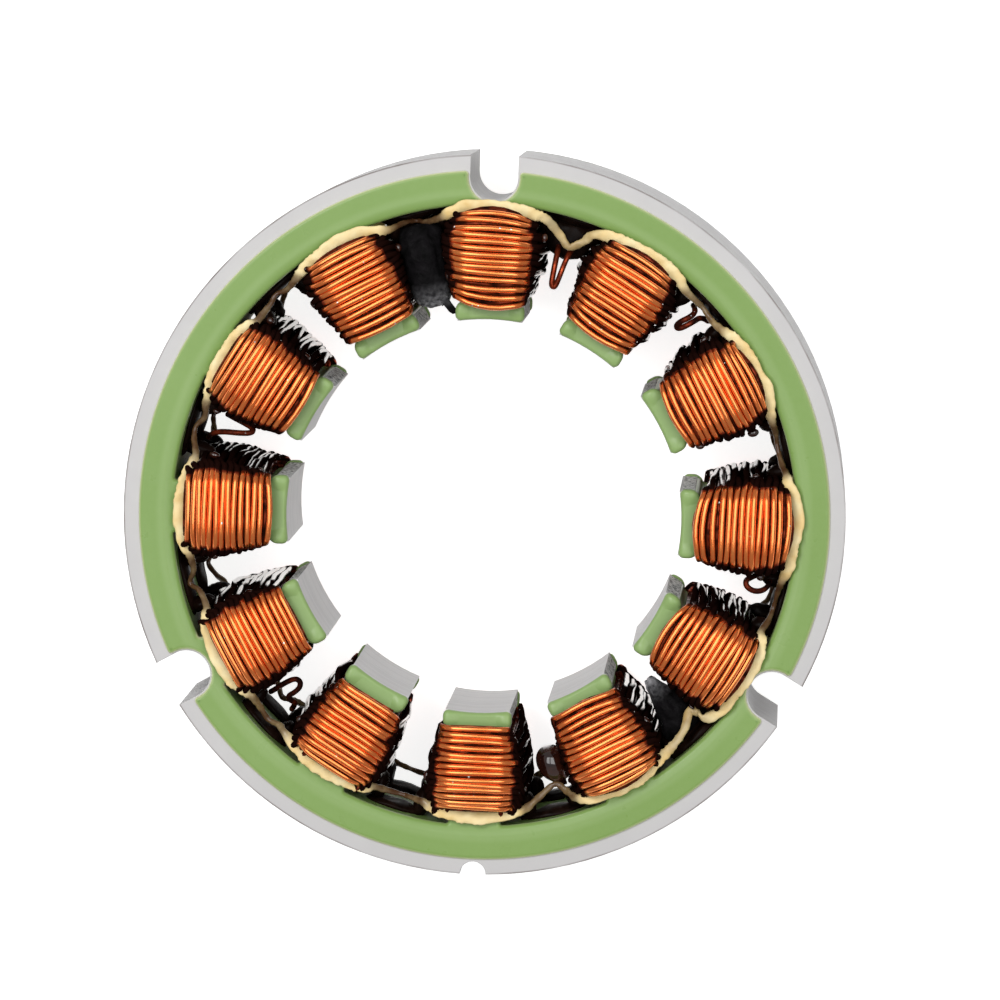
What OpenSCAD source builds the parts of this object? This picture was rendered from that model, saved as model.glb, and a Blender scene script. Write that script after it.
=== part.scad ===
// Wound stator of a frameless inrunner motor: twelve toothed coils in a bonded lamination ring.
// The motor axis is Z, the face that is usually photographed is up, and the part rests on its
// lower coil crowns at z = 0. A tooth and a locating notch stand on +Y, at twelve o'clock.

/* [Lamination stack] */
// Outer diameter of the stamped rings
stack_d = 50; // [46:0.5:56]
// Diameter of the bore between the tooth tips
bore_d = 27.3; // [24:0.1:29]
// Thickness of one steel sheet
sheet_t = 0.35; // [0.2:0.05:0.65]
// Number of sheets in the stack
sheets = 36; // [20:1:60]
// Radial width of the back iron
yoke_w = 3.25; // [2.8:0.05:4]
// Width of a tooth between its shoe and the back iron
tooth_w = 3.2; // [2.4:0.1:3.6]
// Width of a tooth shoe across the bore
shoe_w = 4.45; // [3.8:0.05:5.2]
// Radial thickness of a shoe at its ends
shoe_t = 0.85; // [0.6:0.05:1.1]
// Radial length of the slope from the shoe to the tooth side
shoe_flare = 0.25; // [0.1:0.05:0.5]

/* [Locating notches] */
// Width of each round-bottomed notch in the rim
notch_w = 3.3; // [2:0.1:4]
// Depth of each notch below the rim
notch_depth = 3.2; // [2:0.1:3.6]
// Radius of the small index groove at six o'clock
groove_r = 0.9; // [0.4:0.1:1.1]

/* [Insulating coat] */
// Thickness of the coat on the two end faces
coat_t = 0.3; // [0.2:0.05:0.5]
// Thickness of the coat on the slot walls
wall_coat_t = 0.2; // [0.1:0.05:0.3]
// Width of the rim band that is left bare
bare_band_w = 1.25; // [0.8:0.05:1.6]
// How far the coat stands back from the edges of the notches
coat_setback = 0.12; // [0.02:0.02:0.2]

/* [Coils] */
// Turns in the outer layer of one coil
turns = 14; // [9:1:15]
// Radial room left between a coil and the coated back iron
coil_yoke_gap = 0.45; // [0.35:0.05:0.9]
// Narrowest space between two neighbouring coils
coil_space = 2.6; // [2.3:0.05:3]
// Space between two neighbouring coils beside the shoes
coil_space_shoe = 2.7; // [2.5:0.05:3.1]
// Space between two neighbouring coils beside the back iron
coil_space_yoke = 5.4; // [4.6:0.1:6]
// Extra height of the loops where they cross the end faces
crown_lift = 0.6; // [0.4:0.05:1.2]
// Radius of the loops' inner corners
loop_corner_r = 0.3; // [0.2:0.05:0.4]
// Gap between a coil and the coated tooth
coil_gap = 0.03; // [0.02:0.01:0.1]

/* [Lacing and leads] */
// Diameter of the lacing cord
cord_d = 0.6; // [0.4:0.05:0.65]
// Clearance between the cord and what it lies against
cord_gap = 0.04; // [0.02:0.01:0.1]
// Depth of the cord's dips into the slots below the coat
cord_dip = 0.9; // [0.2:0.1:2]
// Diameter of the enamelled wire in the jumper loops
jumper_d = 0.46; // [0.3:0.02:0.5]
// Distance between the two legs of a jumper loop
jumper_leg_gap = 0.62; // [0.6:0.02:0.9]
// Depth of the jumper loops, sleeves and bead below the face of the stack
slot_piece_depth = 0.7; // [0.6:0.1:2]
// Gap between the coils and a loop, sleeve or bead that lies between them
slot_piece_gap = 0.05; // [0.03:0.01:0.1]

/* [Hidden] */
$fn = 96;

slots = 12;
slot_pitch = 360 / slots;
notches = 3;
stack_r = stack_d / 2;
bore_r = bore_d / 2;
stack_h = sheets * sheet_t;
slot_r = stack_r - yoke_w;
shoe_back_r = bore_r + shoe_t;
// A cut or a joined piece runs this far past the face that it meets
overrun = 1;

coat_outer_r = stack_r - bare_band_w;
coat_inner_r = slot_r - wall_coat_t;
coil_start_r = shoe_back_r + shoe_flare + wall_coat_t + coil_gap;
coil_end_r = coat_inner_r - coil_yoke_gap;
coil_len = coil_end_r - coil_start_r;
turn_pitch = coil_len / turns;
coil_half_w = tooth_w / 2 + wall_coat_t + coil_gap;
coil_half_h = stack_h / 2 + coat_t + coil_gap;
loop_half_h = stack_h / 2 + coat_t + crown_lift;
// A turn's radius is a little over half its pitch, so that neighbouring turns meet in a groove
turn_r = 0.52 * turn_pitch;
// Neighbouring coils come closest at this share of the way from the shoes to the back iron
narrow_share = 0.32;

function turn_y(k) = coil_start_r + (k + 0.5) * turn_pitch;

// Space between two neighbouring coils at a share of the way from the shoes to the back iron, square to
// the slot's middle line
function space_at(share) =
    let (near = 1 - share / narrow_share, far = (share - narrow_share) / (1 - narrow_share))
    share < narrow_share
        ? coil_space + (coil_space_shoe - coil_space) * near * near
        : coil_space + (coil_space_yoke - coil_space) * far * far * far;

// Half the width of a coil at turn k, and the build of the winding beside the coated tooth there
function half_width_at(k) =
    (turn_y(k) * sin(slot_pitch / 2) - space_at(k / (turns - 1)) / 2) / cos(slot_pitch / 2);
function build_at(k) = half_width_at(k) - tooth_w / 2 - wall_coat_t;

// The crown's highest turn sets how far the stack stands above the surface that it rests on
stack_z = coat_t + crown_lift + max([for (k = [0 : turns - 1]) build_at(k)]);
mid_z = stack_z + stack_h / 2;
front_z = stack_z + stack_h;

copper = "#c9682e";
steel = "#b9b7b8";
coat_green = "#93b574";
cord_cream = "#e4d29c";

// Places what is drawn at twelve o'clock at another hour, clockwise seen from the front
module at_hour(hour) {
    rotate(-hour * slot_pitch) children();
}

module ring_shape(outer, inner) {
    difference() {
        circle(outer);
        circle(inner);
    }
}

// A notch with a round bottom, open at the rim; grow widens it all round
module notch_shape(grow) {
    bottom_r = stack_r - notch_depth + notch_w / 2;
    translate([0, bottom_r]) circle(notch_w / 2 + grow);
    translate([-notch_w / 2 - grow, bottom_r])
        square([notch_w + 2 * grow, stack_r + overrun - bottom_r]);
}

// The rim's notches, and the index groove opposite the first of them
module rim_cuts(grow) {
    for (i = [0 : notches - 1]) rotate(i * 360 / notches) notch_shape(grow);
    rotate(180) translate([0, stack_r]) circle(groove_r + grow);
}

// One tooth with its shoe; grow is the coat on the sides and behind the shoe
module tooth_shape(grow) {
    half_body = tooth_w / 2 + grow;
    half_shoe = shoe_w / 2;
    back_r = shoe_back_r + grow;
    flare_r = back_r + shoe_flare;
    difference() {
        polygon([
            [-half_shoe, bore_r - overrun], [half_shoe, bore_r - overrun], [half_shoe, back_r],
            [half_body, flare_r], [half_body, slot_r + overrun],
            [-half_body, slot_r + overrun], [-half_body, flare_r], [-half_shoe, back_r]
        ]);
        circle(bore_r);
    }
}

module stack_shape() {
    difference() {
        union() {
            ring_shape(stack_r, slot_r);
            for (hour = [1 : slots]) at_hour(hour) tooth_shape(0);
        }
        rim_cuts(0);
    }
}

module coat_shape() {
    difference() {
        union() {
            ring_shape(coat_outer_r, coat_inner_r);
            for (hour = [1 : slots]) at_hour(hour) tooth_shape(wall_coat_t);
        }
        rim_cuts(coat_setback);
    }
}

module lamination_stack() {
    color(steel) translate([0, 0, stack_z]) linear_extrude(stack_h) stack_shape();
}

module epoxy_coat() {
    color(coat_green) difference() {
        translate([0, 0, stack_z - coat_t]) linear_extrude(stack_h + 2 * coat_t) coat_shape();
        translate([0, 0, stack_z]) linear_extrude(stack_h) stack_shape();
    }
}

// Section through the winding: x is the distance from the loops' corner axis, y is the radius
module winding_section() {
    reach = [for (k = [0 : turns - 1]) loop_corner_r + build_at(k) - turn_r];
    union() {
        polygon(concat(
            [[0, coil_start_r]],
            [for (k = [0 : turns - 1], side = [0, 1]) [reach[k], coil_start_r + (k + side) * turn_pitch]],
            [[0, coil_end_r]]
        ));
        for (k = [0 : turns - 1]) translate([reach[k], turn_y(k)]) circle(turn_r);
    }
}

// Carries the section round the tooth: both slot sides, then a crown between two round corners
// at each end, all with the room for the coated tooth cut out
module coil() {
    corner_x = tooth_w / 2 + wall_coat_t - loop_corner_r;
    corner_z = loop_half_h - loop_corner_r;
    color(copper) translate([0, 0, mid_z]) difference() {
        union() {
            translate([0, 0, -corner_z]) linear_extrude(2 * corner_z) {
                for (side = [0, 1]) mirror([side, 0]) translate([corner_x, 0]) winding_section();
                translate([-corner_x, coil_start_r]) square([2 * corner_x, coil_len]);
            }
            for (turn = [0, 180]) rotate([0, turn, 0]) {
                translate([corner_x, 0, corner_z]) rotate([0, -90, 0])
                    linear_extrude(2 * corner_x) winding_section();
                translate([corner_x, 0, corner_z]) rotate([-90, 0, 0]) rotate(-90)
                    rotate_extrude(angle = 90) winding_section();
                translate([-corner_x, 0, corner_z]) rotate([-90, 0, 0]) rotate(180)
                    rotate_extrude(angle = 90) winding_section();
            }
        }
        translate([-coil_half_w, coil_start_r - overrun, -coil_half_h])
            cube([2 * coil_half_w, coil_len + 2 * overrun, 2 * coil_half_h]);
    }
}

// One corner of the cord's section, in the plane of the axis
function ring_point(p, radial, r, a) = p + r * (cos(a) * radial + sin(a) * [0, 0, 1]);

// The lacing's route: over the coat past each crown's outer end, then inside the coat's edge and down
// into the slot beside it
cord_sides = 8;
cord_steps = 8;
cord_r = cord_d / 2;
cord_y = coil_end_r + turn_r - turn_pitch / 2 + cord_gap + cord_r;
cord_wall_r = coat_inner_r - cord_gap - cord_r;
cord_top = stack_h / 2 + coat_t + cord_gap + cord_r;
cord_low = stack_h / 2 - cord_dip;
// Half the angle over which the cord runs straight past the narrow outer end of a crown
cord_flat = atan(half_width_at(turns - 1) / cord_y);
// The angle at which the cord has come inside the coat's edge
cord_edge = (cord_flat + slot_pitch / 2) / 2;

function cord_angle(step) =
    [-cord_edge, -cord_flat, -cord_flat / 2, 0, cord_flat / 2, cord_flat, cord_edge, slot_pitch / 2][step];
function cord_point(i) =
    let (
        step = i % cord_steps,
        dips = step == cord_steps - 1,
        inside = step == 0 || step >= cord_steps - 2,
        a = cord_angle(step) + floor(i / cord_steps) * slot_pitch,
        r = inside ? cord_wall_r : cord_y / cos(cord_angle(step))
    )
    [r * sin(a), r * cos(a), dips ? cord_low : cord_top];

module lacing() {
    count = slots * cord_steps;
    path = [for (i = [0 : count - 1]) cord_point(i)];
    points = [
        for (p = path)
            let (radial = [p[0], p[1], 0] / norm([p[0], p[1]]))
            for (s = [0 : cord_sides - 1]) ring_point(p, radial, cord_r, s * 360 / cord_sides)
    ];
    faces = [
        for (i = [0 : count - 1], s = [0 : cord_sides - 1])
            let (next = (i + 1) % count, side = (s + 1) % cord_sides)
            [i * cord_sides + s, i * cord_sides + side, next * cord_sides + side, next * cord_sides + s]
    ];
    polyhedron(points, faces);
}

module front_lacing() {
    color(cord_cream) translate([0, 0, mid_z]) lacing();
}

module rear_lacing() {
    color(cord_cream) translate([0, 0, mid_z]) rotate([0, 180, 0]) lacing();
}

// Greatest width of a loop, sleeve or bead that lies between two coils
slot_width = coil_space - 2 * slot_piece_gap;
slot_piece_z = front_z - slot_piece_depth;

// Radius at a share of the way along the slot from the shoes to the back iron
function slot_reach(share) = coil_start_r + share * coil_len;

// Places what is drawn on +Y in the middle of the slot after an hour
module in_slot_after(hour) {
    at_hour(hour + 0.5) translate([0, 0, slot_piece_z]) children();
}

jumper_elbow_r = jumper_d;
jumper_tail = 3;

module wire(length) {
    cylinder(d = jumper_d, h = length);
}

module wire_bend(r, angle) {
    rotate_extrude(angle = angle) translate([r, 0]) circle(d = jumper_d);
}

// A wire that comes up out of the slot, turns back near the shoes and goes down again; its tails lean out
// to the coils that it joins
module jumper(from, to) {
    half_gap = jumper_leg_gap / 2;
    inner_y = slot_reach(from) + half_gap;
    outer_y = slot_reach(to) - jumper_elbow_r;
    lean = asin((space_at(to) / 2 - slot_piece_gap - jumper_d / 2 - half_gap) / jumper_tail);
    color(copper) {
        translate([0, inner_y, 0]) rotate(180) wire_bend(half_gap, 180);
        for (side = [-1, 1]) translate([side * half_gap, 0, 0]) {
            translate([0, inner_y, 0]) rotate([-90, 0, 0]) wire(outer_y - inner_y);
            translate([0, outer_y, -jumper_elbow_r]) rotate([90, 0, 90]) wire_bend(jumper_elbow_r, 90);
            translate([0, outer_y + jumper_elbow_r, -jumper_elbow_r]) {
                sphere(d = jumper_d);
                rotate([0, 180 - side * lean, 0]) wire(jumper_tail);
            }
        }
    }
}

// A shrunk sleeve that lies along the slot over a soldered joint, drawn in at both ends
module joint_sleeve(from, to) {
    r = slot_width / 2;
    neck_r = 0.6 * r;
    length = slot_reach(to) - slot_reach(from);
    color("#1c1b1d") translate([0, slot_reach(from), 0]) rotate([-90, 0, 0]) rotate_extrude()
        polygon([[0, 0], [neck_r, 0], [r, r], [r, length - r], [neck_r, length], [0, length]]);
}

// A drop of varnish that has set between two coils
module varnish_bead(from, to) {
    r = slot_width / 2;
    length = slot_reach(to) - slot_reach(from);
    color("#3a120c") translate([0, slot_reach(from) + r, 0]) rotate([-90, 0, 0]) rotate_extrude()
        difference() {
            union() {
                circle(r);
                translate([-r, 0]) square([2 * r, length - 2 * r]);
                translate([0, length - 2 * r]) circle(r);
            }
            translate([-2 * r, -r - overrun]) square([2 * r, length + 2 * overrun]);
        }
}

lamination_stack();
epoxy_coat();
at_hour(1) coil();  // coil_01
at_hour(2) coil();  // coil_02
at_hour(3) coil();  // coil_03
at_hour(4) coil();  // coil_04
at_hour(5) coil();  // coil_05
at_hour(6) coil();  // coil_06
at_hour(7) coil();  // coil_07
at_hour(8) coil();  // coil_08
at_hour(9) coil();  // coil_09
at_hour(10) coil();  // coil_10
at_hour(11) coil();  // coil_11
at_hour(12) coil();  // coil_12
front_lacing();
rear_lacing();
in_slot_after(12) jumper(0.26, 0.75);  // jumper_12_01
in_slot_after(1) jumper(0.47, 0.89);  // jumper_01_02
in_slot_after(3) jumper(0.51, 0.89);  // jumper_03_04
in_slot_after(7) jumper(0.33, 0.84);  // jumper_07_08
in_slot_after(9) jumper(0.28, 0.79);  // jumper_09_10
in_slot_after(11) joint_sleeve(0.05, 0.89);  // joint_sleeve_11_12
in_slot_after(4) joint_sleeve(0.28, 0.89);  // joint_sleeve_04_05
in_slot_after(5) varnish_bead(0.23, 0.7);  // varnish_bead_05_06
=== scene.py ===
import math
import random

import bmesh
import bpy
from mathutils import Matrix, Vector


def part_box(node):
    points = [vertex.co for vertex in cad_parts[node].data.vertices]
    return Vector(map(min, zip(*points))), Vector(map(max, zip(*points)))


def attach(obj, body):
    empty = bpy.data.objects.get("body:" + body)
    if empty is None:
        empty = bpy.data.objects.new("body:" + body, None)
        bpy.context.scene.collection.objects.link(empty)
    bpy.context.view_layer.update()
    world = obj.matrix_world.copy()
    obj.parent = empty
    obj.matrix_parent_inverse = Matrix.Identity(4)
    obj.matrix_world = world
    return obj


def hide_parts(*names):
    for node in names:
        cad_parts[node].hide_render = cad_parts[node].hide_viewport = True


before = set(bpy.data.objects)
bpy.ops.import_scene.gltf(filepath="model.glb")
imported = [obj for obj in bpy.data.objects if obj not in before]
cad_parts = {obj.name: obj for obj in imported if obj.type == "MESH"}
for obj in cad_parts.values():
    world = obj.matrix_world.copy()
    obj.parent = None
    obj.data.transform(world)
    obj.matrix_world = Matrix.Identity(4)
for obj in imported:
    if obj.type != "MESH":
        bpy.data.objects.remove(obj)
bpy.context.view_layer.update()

# Lamination stack: steel sheets stamped with twelve inward teeth and bonded into one ring.
# The rim and the bore are ground, so the sheets show there as fine seams, and the rim's corners are
# painted dark in places as shade. The ends of the tooth shoes stay as the press left them, grey and
# speckled.
mm = 0.001
sheet_count = 36
seam_half = 0.03 * mm
seam_depth = 0.03 * mm
rim_r = 25 * mm
bore_r = 13.65 * mm
shoe_end_r = 15.3 * mm
stack_low, stack_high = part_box("lamination_stack")
rear_z = stack_low.z
front_z = stack_high.z
mid_z = (rear_z + front_z) / 2
sheet_t = (front_z - rear_z) / sheet_count


def wall_direction(vert):
    """The outward direction of the upright walls that meet at a vertex."""
    outward = Vector()
    for face in vert.link_faces:
        if abs(face.normal.z) < 0.5:
            outward += face.normal
    outward.z = 0
    return outward.normalized()


sheets = bmesh.new()
sheets.from_mesh(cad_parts["lamination_stack"].data)
bmesh.ops.remove_doubles(sheets, verts=sheets.verts, dist=0.002 * mm)
bmesh.ops.dissolve_limit(sheets, angle_limit=math.radians(0.5), verts=sheets.verts, edges=sheets.edges)
uprights = [e for e in sheets.edges if abs(e.verts[0].co.z - e.verts[1].co.z) > sheet_t]
bmesh.ops.subdivide_edges(sheets, edges=uprights, cuts=3 * sheet_count - 1, use_grid_fill=True)
seam_verts = []
for vert in sheets.verts:
    ring = round((vert.co.z - rear_z) / sheet_t * 3)
    seam = round(ring / 3)
    vert.co.z = rear_z + seam * sheet_t + (ring - 3 * seam) * seam_half
    if ring == 3 * seam:
        seam_verts.append(vert)
sheets.normal_update()
seam_moves = [(vert, wall_direction(vert) * seam_depth) for vert in seam_verts]
for vert, move in seam_moves:
    vert.co -= move


def to_mesh(name, shape, sharp=None):
    """Turn a finished bmesh into a smooth mesh, with edges over an angle in degrees left sharp."""
    mesh = bpy.data.meshes.new(name)
    shape.to_mesh(mesh)
    shape.free()
    mesh.shade_smooth()
    if sharp is not None:
        mesh.set_sharp_from_angle(angle=math.radians(sharp))
    return mesh


def add_piece(name, mesh, finish, slot, *nodes):
    """Put a mesh in the scene as a piece on the one body, in place of its CAD nodes."""
    piece = bpy.data.objects.new(name, mesh)
    bpy.context.scene.collection.objects.link(piece)
    mesh.materials.append(finish)
    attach(piece, "root")
    if nodes:
        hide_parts(*nodes)
    return piece


def add_node(tree, kind, values=None, **fields):
    """Add a shader node, set its fields, and feed its inputs with values or other nodes' outputs."""
    node = tree.nodes.new(kind)
    for field, value in fields.items():
        setattr(node, field, value)
    for socket, value in (values or {}).items():
        if isinstance(value, bpy.types.NodeSocket):
            tree.links.new(value, node.inputs[socket])
        else:
            node.inputs[socket].default_value = value
    return node


def ramp(tree, value, low, high, to_low=0.0, to_high=1.0):
    """Spread a value smoothly from one range to another."""
    spread = add_node(
        tree, "ShaderNodeMapRange",
        {"Value": value, "From Min": low, "From Max": high, "To Min": to_low, "To Max": to_high},
        interpolation_type="SMOOTHSTEP",
    )
    return spread.outputs["Result"]


def sums(tree, operation, first, second):
    """Work out one sum on two values in a shader tree."""
    return add_node(tree, "ShaderNodeMath", {0: first, 1: second}, operation=operation).outputs[0]


def blend(tree, share, first, second, how="MIX"):
    """Mix two colours in a shader tree by a share."""
    mixer = add_node(
        tree, "ShaderNodeMix", {0: share, 6: first, 7: second}, data_type="RGBA", blend_type=how
    )
    return mixer.outputs[2]


def start_finish(name, roughness, **plain):
    """Begin a finish: a material, its node tree, its shader and its Object coordinates."""
    finish = bpy.data.materials.new(name)
    finish.use_nodes = True
    tree = finish.node_tree
    shader = tree.nodes["Principled BSDF"]
    shader.inputs["Roughness"].default_value = roughness
    for socket, value in plain.items():
        shader.inputs[socket.replace("_", " ")].default_value = value
    place = add_node(tree, "ShaderNodeTexCoord").outputs["Object"]
    return finish, tree, shader, place


# The shared cloudiness of every finish: a noise over the piece, spread between two values.
mottle = bpy.data.node_groups.new("mottle", "ShaderNodeTree")
for mottle_socket in ("Scale", "Low", "High"):
    mottle.interface.new_socket(mottle_socket, in_out="INPUT", socket_type="NodeSocketFloat")
mottle.interface.new_socket("Value", in_out="OUTPUT", socket_type="NodeSocketFloat")
mottle_in = add_node(mottle, "NodeGroupInput")
mottle_noise = add_node(
    mottle, "ShaderNodeTexNoise",
    {
        "Vector": add_node(mottle, "ShaderNodeTexCoord").outputs["Object"],
        "Scale": mottle_in.outputs["Scale"],
        "Detail": 3.0,
    },
)
mottle_spread = add_node(
    mottle, "ShaderNodeMapRange",
    {
        "Value": mottle_noise.outputs["Fac"], "From Min": 0.3, "From Max": 0.7,
        "To Min": mottle_in.outputs["Low"], "To Max": mottle_in.outputs["High"],
    },
)
add_node(mottle, "NodeGroupOutput", {"Value": mottle_spread.outputs["Result"]})


def cloud(tree, scale, low, high):
    """Place the shared cloudiness in a finish with its own values."""
    return add_node(
        tree, "ShaderNodeGroup", {"Scale": scale, "Low": low, "High": high}, node_tree=mottle
    ).outputs["Value"]


def axis_distance(tree, place):
    """How far a point is from the motor's axis."""
    flat = add_node(tree, "ShaderNodeVectorMath", {0: place, 1: (1, 1, 0)}, operation="MULTIPLY")
    length = add_node(tree, "ShaderNodeVectorMath", {0: flat.outputs[0]}, operation="LENGTH")
    return length.outputs["Value"]


steel_finish, tree, shader, place = start_finish(
    "ground_sheet_steel", 0.4, Metallic=0.1, Specular_IOR_Level=0.2
)
height = add_node(tree, "ShaderNodeSeparateXYZ", {0: place}).outputs["Z"]
above_rear = sums(tree, "SUBTRACT", height, rear_z - 0.1 * sheet_t)
sheet_number = sums(tree, "FLOOR", sums(tree, "DIVIDE", above_rear, sheet_t), 0.0)
sheet_tone = add_node(tree, "ShaderNodeTexWhiteNoise", {"W": sheet_number}, noise_dimensions="1D")
tone = sums(
    tree, "MULTIPLY", ramp(tree, sheet_tone.outputs["Value"], 0.0, 1.0, 0.93, 1.03),
    cloud(tree, 260.0, 0.98, 1.02),
)
bright_steel = add_node(tree, "ShaderNodeCombineColor", {0: tone, 1: tone, 2: tone}).outputs[0]
radius = axis_distance(tree, place)
rim_grey = (0.545, 0.535, 0.535, 1)
bore_grey = (0.67, 0.66, 0.66, 1)
near_bore = ramp(tree, radius, bore_r + 0.95 * mm, bore_r + 0.35 * mm)
ground = blend(tree, near_bore, rim_grey, bore_grey)
bright_steel = blend(tree, 1.0, bright_steel, ground, "MULTIPLY")
pressed = sums(
    tree, "MULTIPLY", ramp(tree, radius, bore_r + 0.05 * mm, bore_r + 0.15 * mm),
    ramp(tree, radius, shoe_end_r + 0.1 * mm, shoe_end_r),
)
speckle = ramp(tree, cloud(tree, 3600.0, 0.0, 1.0), 0.15, 0.6)
pressed_grey = blend(tree, speckle, (0.1, 0.1, 0.1, 1), (0.92, 0.92, 0.9, 1))
steel_tone = blend(tree, pressed, bright_steel, pressed_grey)
from_middle = sums(tree, "ABSOLUTE", sums(tree, "SUBTRACT", height, mid_z), 0.0)
half_stack = front_z - mid_z
# Painted shade: the rim's corners at both end faces darken in cloudy patches.
painted_corner_shade = sums(
    tree, "MULTIPLY", ramp(tree, radius, rim_r - 0.14 * mm, rim_r - 0.06 * mm),
    ramp(tree, from_middle, half_stack - 0.1 * mm, half_stack),
)
painted_corner_shade = sums(tree, "MULTIPLY", painted_corner_shade, cloud(tree, 300.0, 0.1, 0.9))
steel_tone = blend(tree, painted_corner_shade, steel_tone, (0.16, 0.13, 0.12, 1))
tree.links.new(steel_tone, shader.inputs["Base Color"])
steel_rough = sums(tree, "ADD", cloud(tree, 1400.0, 0.36, 0.46), sums(tree, "MULTIPLY", pressed, 0.25))
tree.links.new(steel_rough, shader.inputs["Roughness"])
steel_bump = add_node(
    tree, "ShaderNodeBump",
    {"Height": cloud(tree, 4200.0, 0.0, 1.0), "Strength": 0.05, "Distance": 0.01 * mm},
)
tree.links.new(steel_bump.outputs["Normal"], shader.inputs["Normal"])
sheets_mesh = to_mesh("stack_sheets", sheets, 25)
add_piece("stack_sheets", sheets_mesh, steel_finish, "lamination_steel", "lamination_stack")

# Epoxy coat: a green insulating coat baked onto both end faces and down the slot walls.
# It lies thick with rounded edges, gathers in a drop at each end of a shoe, and leaves the rim, a
# band beside it, the bore and the ends of the shoes bare.
tooth_half = 1.6 * mm
shoe_half = 2.225 * mm
shoe_back_r = 14.5 * mm
shoe_flare = 0.25 * mm
slot_floor_r = 21.75 * mm
wall_coat = 0.2 * mm
end_coat = 0.3 * mm
coat_rim_r = 23.93 * mm
coat_overhang = 0.16 * mm
coat_drape = 0.3 * mm
notch_half = 1.77 * mm
notch_bottom = 23.45 * mm
notch_corner = 0.34 * mm
inner_corner = 0.2 * mm
pad_corner = 0.45 * mm
liner_corner = 0.2 * mm


def hour_turn(hour):
    """The turn that brings what is drawn at twelve o'clock to another hour."""
    return Matrix.Rotation(math.radians(-30 * hour), 4, "Z")


def arc_points(radius, first, last, steps):
    """Points on a circle about the axis, by degrees clockwise from twelve o'clock."""
    angles = [math.radians(first + (last - first) * i / steps) for i in range(steps + 1)]
    return [Vector((radius * math.sin(a), radius * math.cos(a), 0)) for a in angles]


def trace(shape, points, height):
    """Draw a closed wire through points at one height."""
    verts = [shape.verts.new((p.x, p.y, height)) for p in points]
    for first, second in zip(verts, verts[1:] + verts[:1]):
        shape.edges.new((first, second))
    return verts


def round_corners(shape, verts, corner):
    """Round the corners of a closed wire: the outward ones by a distance, the inward ones by less."""
    outward = []
    inward = []
    for i, vert in enumerate(verts):
        before = vert.co - verts[i - 1].co
        after = verts[(i + 1) % len(verts)].co - vert.co
        if before.angle(after) > math.radians(20):
            (outward if before.cross(after).z > 0 else inward).append(vert)
    for corners, offset in ((outward, corner), (inward, inner_corner)):
        bmesh.ops.bevel(
            shape, geom=corners, offset=offset, affect="VERTICES", segments=5, profile=0.5, material=-1
        )


def trace_teeth(shape, height, side, floor_r, back_r, shoe, tip_r, corner):
    """Draw the toothed inner edge of a ring, with its tooth and shoe corners rounded."""
    tip_angle = math.degrees(math.asin(shoe / tip_r))
    floor_angle = math.degrees(math.asin(side / floor_r))
    points = []
    for hour in range(12):
        side_points = [Vector((side, back_r + shoe_flare, 0)), Vector((shoe, back_r, 0))]
        tooth = [Vector((-p.x, p.y, 0)) for p in side_points]
        tooth += arc_points(tip_r, -tip_angle, tip_angle, 8)
        tooth += side_points[::-1]
        tooth += arc_points(floor_r, floor_angle, 30 - floor_angle, 12)
        points += [hour_turn(hour) @ p for p in tooth]
    round_corners(shape, trace(shape, points, height), corner)


def trace_rim(shape, height, radius):
    """Draw the outer edge of the coat, with a round bite at each of the three notches."""
    bite_y = (radius ** 2 + notch_bottom ** 2 - notch_half ** 2) / (2 * notch_bottom)
    bite_angle = math.degrees(math.acos(bite_y / radius))
    bite_first = math.degrees(math.asin((bite_y - notch_bottom) / notch_half))
    bite_span = 180 + 2 * bite_first
    bite = []
    for i in range(1, 14):
        a = math.radians(180 - bite_first + bite_span * i / 14)
        bite.append(Vector((notch_half * math.cos(a), notch_bottom + notch_half * math.sin(a), 0)))
    points = []
    for hour in (0, 4, 8):
        stretch = bite + arc_points(radius, bite_angle, 120 - bite_angle, 64)
        points += [hour_turn(hour) @ p for p in stretch]
    round_corners(shape, trace(shape, points[::-1], height), notch_corner)


def verts_of(geom):
    """The vertices among what a mesh operator returns."""
    return [item for item in geom if isinstance(item, bmesh.types.BMVert)]


pads = bmesh.new()
pad_low = front_z - coat_drape
trace_teeth(
    pads, pad_low, tooth_half + wall_coat, slot_floor_r - wall_coat, shoe_back_r + wall_coat,
    shoe_half + coat_overhang, bore_r + 0.02 * mm, pad_corner,
)
trace_rim(pads, pad_low, coat_rim_r)
bmesh.ops.triangle_fill(pads, edges=pads.edges[:], use_beauty=True, normal=(0, 0, 1))
edge_round = 0.25 * mm
pad_lift = coat_drape + end_coat - edge_round
raised = bmesh.ops.extrude_face_region(pads, geom=pads.faces[:], use_keep_orig=True)["geom"]
bmesh.ops.translate(pads, verts=verts_of(raised), vec=(0, 0, pad_lift))
pad_tops = [f for f in raised if isinstance(f, bmesh.types.BMFace)]
bmesh.ops.recalc_face_normals(pads, faces=pads.faces[:])
edge_steps = 5
for step in range(edge_steps):
    before = math.radians(90 * step / edge_steps)
    after = math.radians(90 * (step + 1) / edge_steps)
    bmesh.ops.inset_region(
        pads, faces=pad_tops, use_boundary=True, use_even_offset=True,
        thickness=edge_round * (math.cos(before) - math.cos(after)),
        depth=edge_round * (math.sin(after) - math.sin(before)),
    )
# A flat strip inside the rounded edge, so that the rounding doesn't shade the whole face.
flat_strip = 0.07 * mm
bmesh.ops.inset_region(
    pads, faces=pad_tops, use_boundary=True, use_even_offset=True, thickness=flat_strip, depth=0
)
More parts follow.
